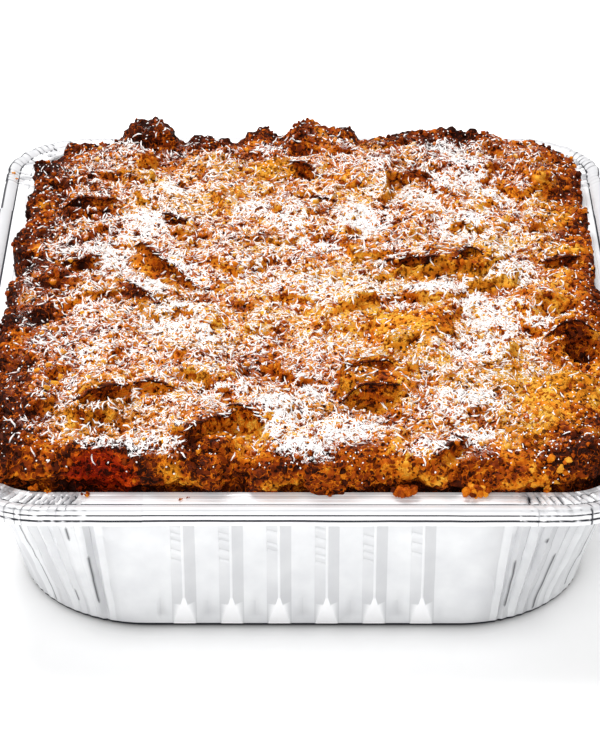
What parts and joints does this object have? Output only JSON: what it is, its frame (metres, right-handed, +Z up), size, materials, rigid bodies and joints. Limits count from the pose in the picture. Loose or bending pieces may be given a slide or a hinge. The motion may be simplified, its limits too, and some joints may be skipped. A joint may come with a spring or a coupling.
{
  "type": "bread pudding",
  "caption": "Baked bread pudding with a craggy crust, risen over the rim of a deep rectangular foil tin with ribbed walls.",
  "frame": {"origin": "middle of the tin's base, on the surface that the tin stands on", "axes": "+Z up, +Y along the tin's long sides, +X along its short sides; the short side at -Y is the one seen in front"},
  "size_m": [0.264, 0.324, 0.0878],
  "materials": {
    "crust": "baked bread and custard, golden to chocolate brown, dusted with powdered sugar",
    "foil": "bright pressed foil"
  },
  "bodies": {
    "root": {"pudding": "crust", "foil_tin": "foil"}
  },
  "joints": []
}
